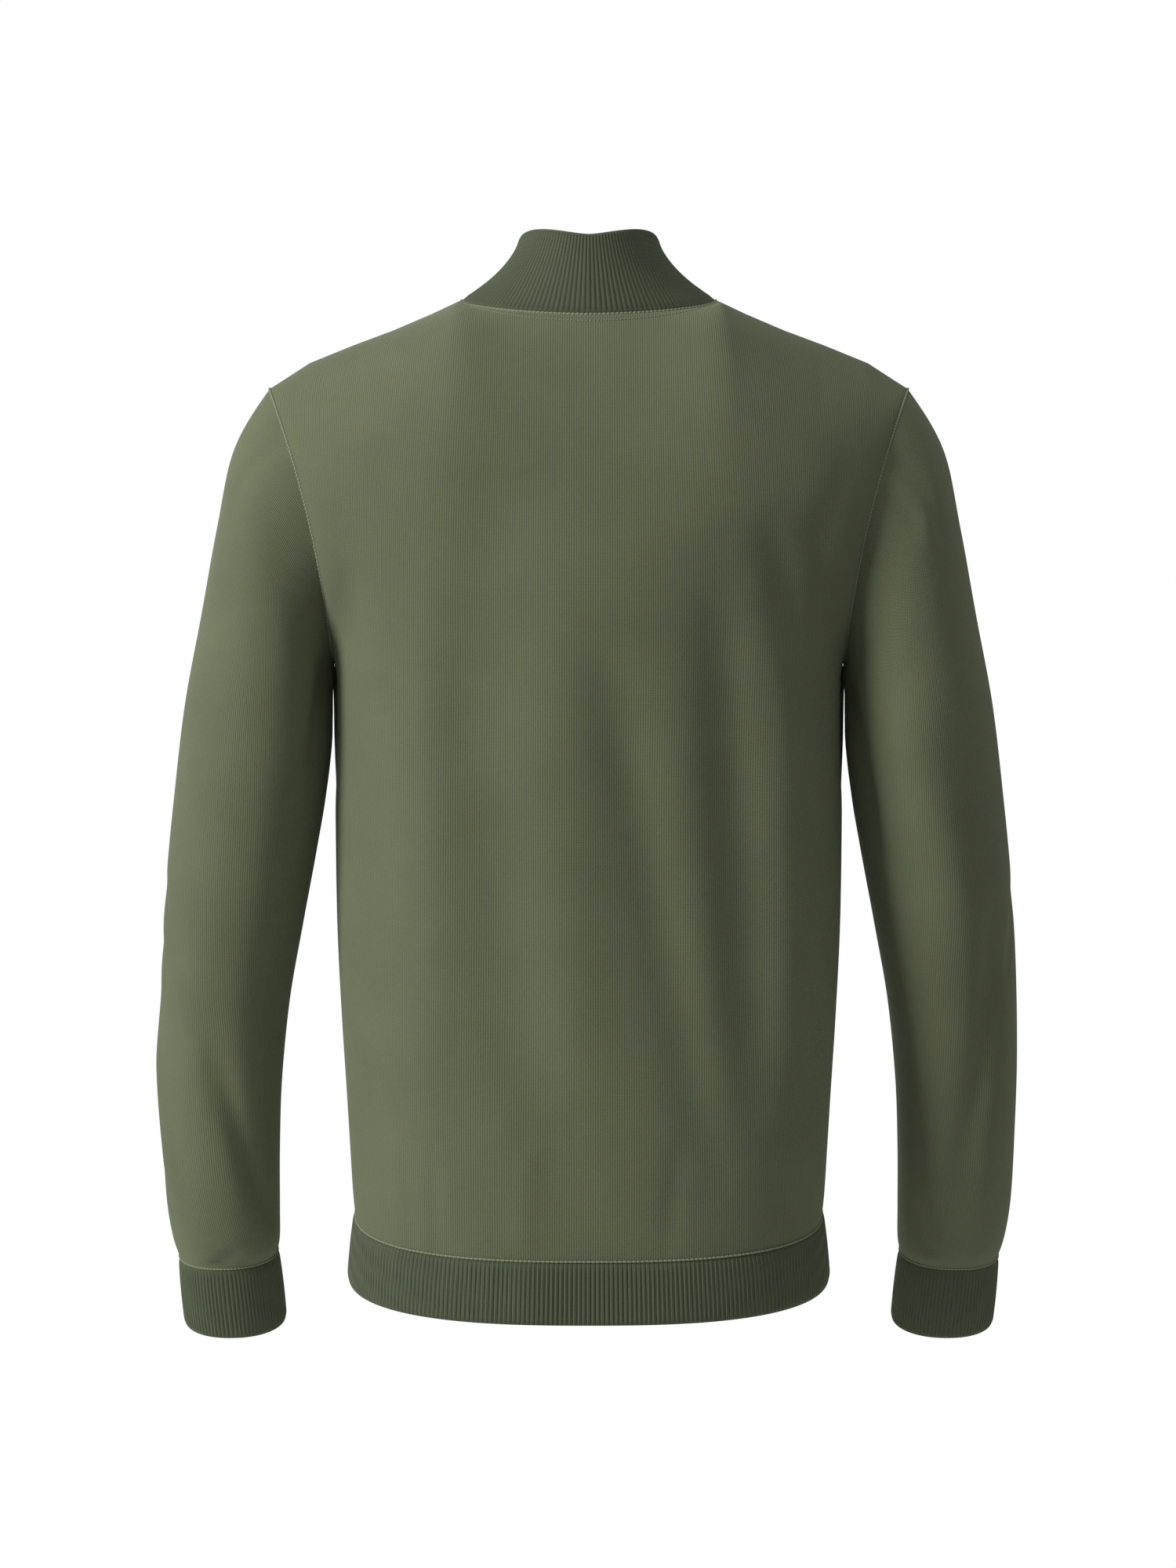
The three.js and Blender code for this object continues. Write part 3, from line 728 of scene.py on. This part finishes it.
@dataclass
class CuffRib:
    """A ribbed cuff, with its ribs as real ridges."""

    arm: Arm
    ribs: int = 84
    rib_columns: int = 6
    rows: int = 20
    rib_height: float = 0.8
    flat: tuple[float, float] = (0.205, 0.052)

    def build(self, finish: bpy.types.Material, trims: dict[str, list]) -> None:
        """Carries the rings from the seam to the lower edge and lifts a rounded ridge for each rib."""
        share = np.linspace(0, 1, self.rows)[:, None]
        turn = np.linspace(0, 2 * pi, self.ribs * self.rib_columns + 1)[None, :]
        points = ring_points(CUFF.read(share), turn)
        normals = grid_normals(points, True)
        ridge = ridges(turn * self.ribs / 2)
        fade = smooth(share * 8) * smooth((1 - share) * 14 + 0.3)
        roll = 0.6 * np.sin(pi * share) ** 0.8
        points = points + normals * (self.rib_height * ridge * fade + roll)[..., None]
        points[..., 0] *= self.arm.value
        uv = arc_lengths(points, turn.size // 2)
        piece = Cloth.mesh(f"rib_cuff_{self.arm.key}", points, True, self.arm is Arm.RIGHT, uv)
        Cloth.wall(piece, RIB_WALL)
        Cloth.finish(piece, f"cuff_{self.arm.key}", "rib", finish)


@dataclass
class Collar:
    """The ribbed mock-neck collar, a flared tube with its ribs as real ridges."""

    ribs: int = 146
    rib_columns: int = 6
    rows: int = 24
    rib_height: float = 0.8
    flat: tuple[float, float] = (0.40, 0.062)

    @staticmethod
    def base(turn: np.ndarray) -> np.ndarray:
        """The whole neck seam, from the middle of the back round by +X."""
        across = np.arcsin(np.minimum(1.0, np.abs(np.sin(turn)))) * 2 / pi
        back, front = neckline(Side.BACK, across), neckline(Side.FRONT, across)
        points = np.where((np.cos(turn) > 0)[..., None], back, front * np.array([1, -1, 1]))
        points[..., 0] *= np.sign(np.sin(turn) + 1e-12)
        return points

    def build(self, finish: bpy.types.Material, trims: dict[str, list]) -> None:
        """Draws the neck seam up and in to the top edge, quicker low down at the flanks."""
        rise = np.linspace(0, 1, self.rows)[:, None]
        turn = np.linspace(0, 2 * pi, self.ribs * self.rib_columns + 1)[None, :]
        base = self.base(turn)
        flank = np.abs(np.sin(turn))
        towards_front = np.arccos(np.clip(np.cos(turn), -1, 1)) / pi
        side_rise = COLLAR_TOP["rise"] * np.sin(pi * towards_front**0.8) ** 2
        top_z = COLLAR_TOP["middle_z"] + COLLAR_TOP["tilt"] * np.cos(turn) + side_rise
        inwards = 1 - (1 - rise) ** mix(1.0, COLLAR_FLARE, flank)
        x = mix(base[..., 0], COLLAR_TOP["half_width"] * np.sin(turn), inwards)
        y = mix(base[..., 1], COLLAR_TOP["middle_y"] + COLLAR_TOP["half_depth"] * np.cos(turn), inwards)
        points = np.stack([x, y, mix(base[..., 2], top_z, rise)], axis=-1)
        normals = -grid_normals(points, True)
        ridge = ridges(turn * self.ribs / 2)
        fade = smooth(rise * 12) * smooth((1 - rise) * 14 + 0.3)
        points = points + normals * (self.rib_height * ridge * fade)[..., None]
        piece = Cloth.mesh("rib_collar", points, True, True, arc_lengths(points, turn.size // 2))
        Cloth.wall(piece, RIB_WALL)
        Cloth.finish(piece, "collar", "rib", finish)


@dataclass
class Seam:
    """A row of linking: a thin cord of yarn along a seam, swelling once for each stitch."""

    name: str
    owner: str
    path: np.ndarray
    radius: float
    stitch: float
    swell: float = 0.45
    closed: bool = True
    sides: int = 6

    def build(self, finish: bpy.types.Material) -> bpy.types.Object:
        """Carries a small circle along the path, with its radius swelling as the size of a sine."""
        steps = np.linalg.norm(np.diff(self.path, axis=0), axis=-1)
        distance = np.concatenate([[0.0], np.cumsum(steps)])
        count = int(distance[-1] / self.stitch * 6)
        at = np.linspace(0, distance[-1], count + 1)
        line = np.stack([np.interp(at, distance, self.path[:, i]) for i in range(3)], axis=-1)
        along = np.gradient(line, axis=0)
        if self.closed:
            along[0] = along[-1] = (line[1] - line[-2]) / 2
        along /= np.linalg.norm(along, axis=-1, keepdims=True)
        aside = np.cross(along, np.array([0.2, 0.1, 0.97]))
        aside /= np.maximum(np.linalg.norm(aside, axis=-1, keepdims=True), 1e-6)
        other = np.cross(along, aside)
        turn = np.linspace(0, 2 * pi, self.sides + 1)[:, None, None]
        stitches = round(distance[-1] / self.stitch)
        swelling = self.swell * np.abs(np.sin(at / distance[-1] * pi * stitches))
        radius = self.radius * (1 - self.swell + swelling)
        ring = np.cos(turn) * aside + np.sin(turn) * other
        points = line[None] + ring * radius[None, :, None]
        grid = points.transpose(1, 0, 2)
        piece = Cloth.mesh(self.name, grid, True, False, arc_lengths(grid, 0))
        piece.data.materials.append(finish)
        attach(piece, BODY)
        LOG.info("%s: %d stitches", self.name, stitches)
        return piece


def seams() -> list[Seam]:
    """Works out every visible row of linking from the pieces that it joins."""
    rows: list[Seam] = []
    turn = np.linspace(0, 2 * pi, 400)
    hole = armhole_ring(turn)
    cuff = ring_points(SLEEVE.row(-1), turn)
    for arm in Arm:
        mirror = np.array([arm.value, 1, 1])
        sleeve, rib = f"jersey_sleeve_{arm.key}", f"rib_cuff_{arm.key}"
        rows.append(Seam(f"linking_armhole_{arm.key}", sleeve, hole * mirror, 1.0, 2.6))
        rows.append(Seam(f"linking_cuff_{arm.key}", rib, cuff * mirror, 0.95, 2.4))
    across = np.linspace(-1, 1, 301)
    for side in Side:
        panel = Panel(side)
        hem = panel.lifted(panel.trunk(TRUNK.row(0), across), across)
        hem[:, 1] += side.value * 0.5
        rib = f"rib_hem_{side.key}"
        rows.append(Seam(f"linking_hem_{side.key}", rib, hem, 0.9, 3.0, closed=False))
        off = np.linspace(-0.97, 0.97, 240) * NECK_SHARE
        low = panel.lifted(panel.yoke(np.full_like(off, 0.965), off), off)
        low[:, 1] += side.value * 0.25
        name, jersey = f"chain_stitch_neck_{side.key}", f"jersey_{side.key}"
        rows.append(Seam(name, jersey, low, 0.5, 2.6, swell=0.9, closed=False))
    rows.append(Seam("linking_neck", "rib_collar", Collar.base(turn), 1.15, 3.0))
    return rows


@dataclass
class Studio:
    """A pale floor, soft light from the wearer's left, and a level camera behind the wearer's back."""

    distance: float = 3.0
    horizon: float = -0.324
    lens: float = 100.0
    floor_z: float = -1.0
    floor_radius: float = 0.7

    def floor(self) -> None:
        """A pale disc below the garment, with a pinhole of a thousandth of its radius in its middle."""
        turn = np.linspace(0, 2 * pi, 97)
        ring = np.stack([np.cos(turn), np.sin(turn), np.zeros_like(turn)], axis=-1) * self.floor_radius / MM
        ring[:, 2] = self.floor_z / MM
        grid = np.stack([ring * np.array([1e-3, 1e-3, 1]), ring])
        disc = Cloth.mesh("floor", grid, True, True, arc_lengths(grid, 0))
        material = bpy.data.materials.new("pale_paint")
        material.use_nodes = True
        shader = material.node_tree.nodes["Principled BSDF"]
        shader.inputs["Base Color"].default_value = linear("#f2f2f0")
        shader.inputs["Roughness"].default_value = 0.9
        disc.data.materials.append(material)

    def world(self) -> None:
        """A white surround that lights the garment less strongly than it shows."""
        world = bpy.data.worlds.new("white_surround")
        world.use_nodes = True
        tree = world.node_tree
        tree.nodes.clear()
        path = add_node(tree, "ShaderNodeLightPath", {}, {})
        strength = add_node(
            tree, "ShaderNodeMapRange", {"To Min": 0.3, "To Max": 1.0},
            {"Value": path.outputs["Is Camera Ray"]},
        )
        sky = add_node(
            tree, "ShaderNodeBackground", {"Color": (1, 1, 1, 1)}, {"Strength": strength.outputs[0]}
        )
        add_node(tree, "ShaderNodeOutputWorld", {}, {0: sky.outputs[0]})
        bpy.context.scene.world = world

    def light(self, name: str, place: tuple[float, float, float], size: float, power: float) -> None:
        """A square soft light that faces the middle of the garment."""
        data = bpy.data.lights.new(name, "AREA")
        data.size = size
        data.energy = power
        lamp = bpy.data.objects.new(name, data)
        lamp.location = place
        target = np.array([0.0, 0.0, self.horizon])
        lamp.rotation_euler = Vector(target - np.array(place)).to_track_quat("-Z", "Y").to_euler()
        bpy.context.scene.collection.objects.link(lamp)

    def camera(self) -> None:
        """A long lens, level with the middle of the garment."""
        data = bpy.data.cameras.new("camera")
        data.sensor_fit = "VERTICAL"
        data.sensor_height = 36.0
        data.lens = self.lens
        camera = bpy.data.objects.new("camera", data)
        camera.location = (0.0005, self.distance, self.horizon)
        camera.rotation_euler = (pi / 2, 0.0, pi)
        bpy.context.scene.collection.objects.link(camera)
        bpy.context.scene.camera = camera

    def build(self) -> None:
        """Sets up the floor, the surround, the lights and the camera."""
        self.floor()
        self.world()
        self.light("key_left", (2.7, 1.5, 0.6), 1.1, 95.0)
        self.light("fill_right", (-2.6, 2.0, 0.2), 1.8, 6.0)
        self.light("top", (0.3, 0.6, 2.2), 1.2, 16.0)
        self.light("front_soft", (0.6, -2.6, 0.6), 1.8, 30.0)
        bpy.context.scene.view_settings.view_transform = "Standard"
        self.camera()


def main() -> None:
    """Builds the studio and the garment around the frame."""
    logging.basicConfig(level=logging.INFO, format="%(message)s")
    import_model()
    Studio().build()
    jersey = KnitFinish("knitted_cotton_jersey", "#71765c", "#474d38", 1.6, 1.5, 0.3, 0.9).material()
    # The rib's colours are painted darker than the jersey's, as painted shade for the hem band that faces
    # down; the yarn is really the same colour, and the cuffs and collar share this darkening.
    rib = KnitFinish("knitted_cotton_rib_painted_shade", "#5a614c", "#383e2d", 1.5, 1.4, 0.2, 0.7).material()
    yarn = KnitFinish("linking_yarn", "#8a9078", "#666c55", 1.2, 1.0, 0.15, 0.5).material()
    trims: dict[str, list] = {}
    for seam in seams():
        trims.setdefault(seam.owner, []).append(seam.build(yarn))
    for side in Side:
        Panel(side).build(jersey, trims)
        HemRib(side).build(rib, trims)
    for arm in Arm:
        Sleeve(arm).build(jersey, trims)
        CuffRib(arm).build(rib, trims)
    Collar().build(rib, trims)


if __name__ == "__main__":
    main()
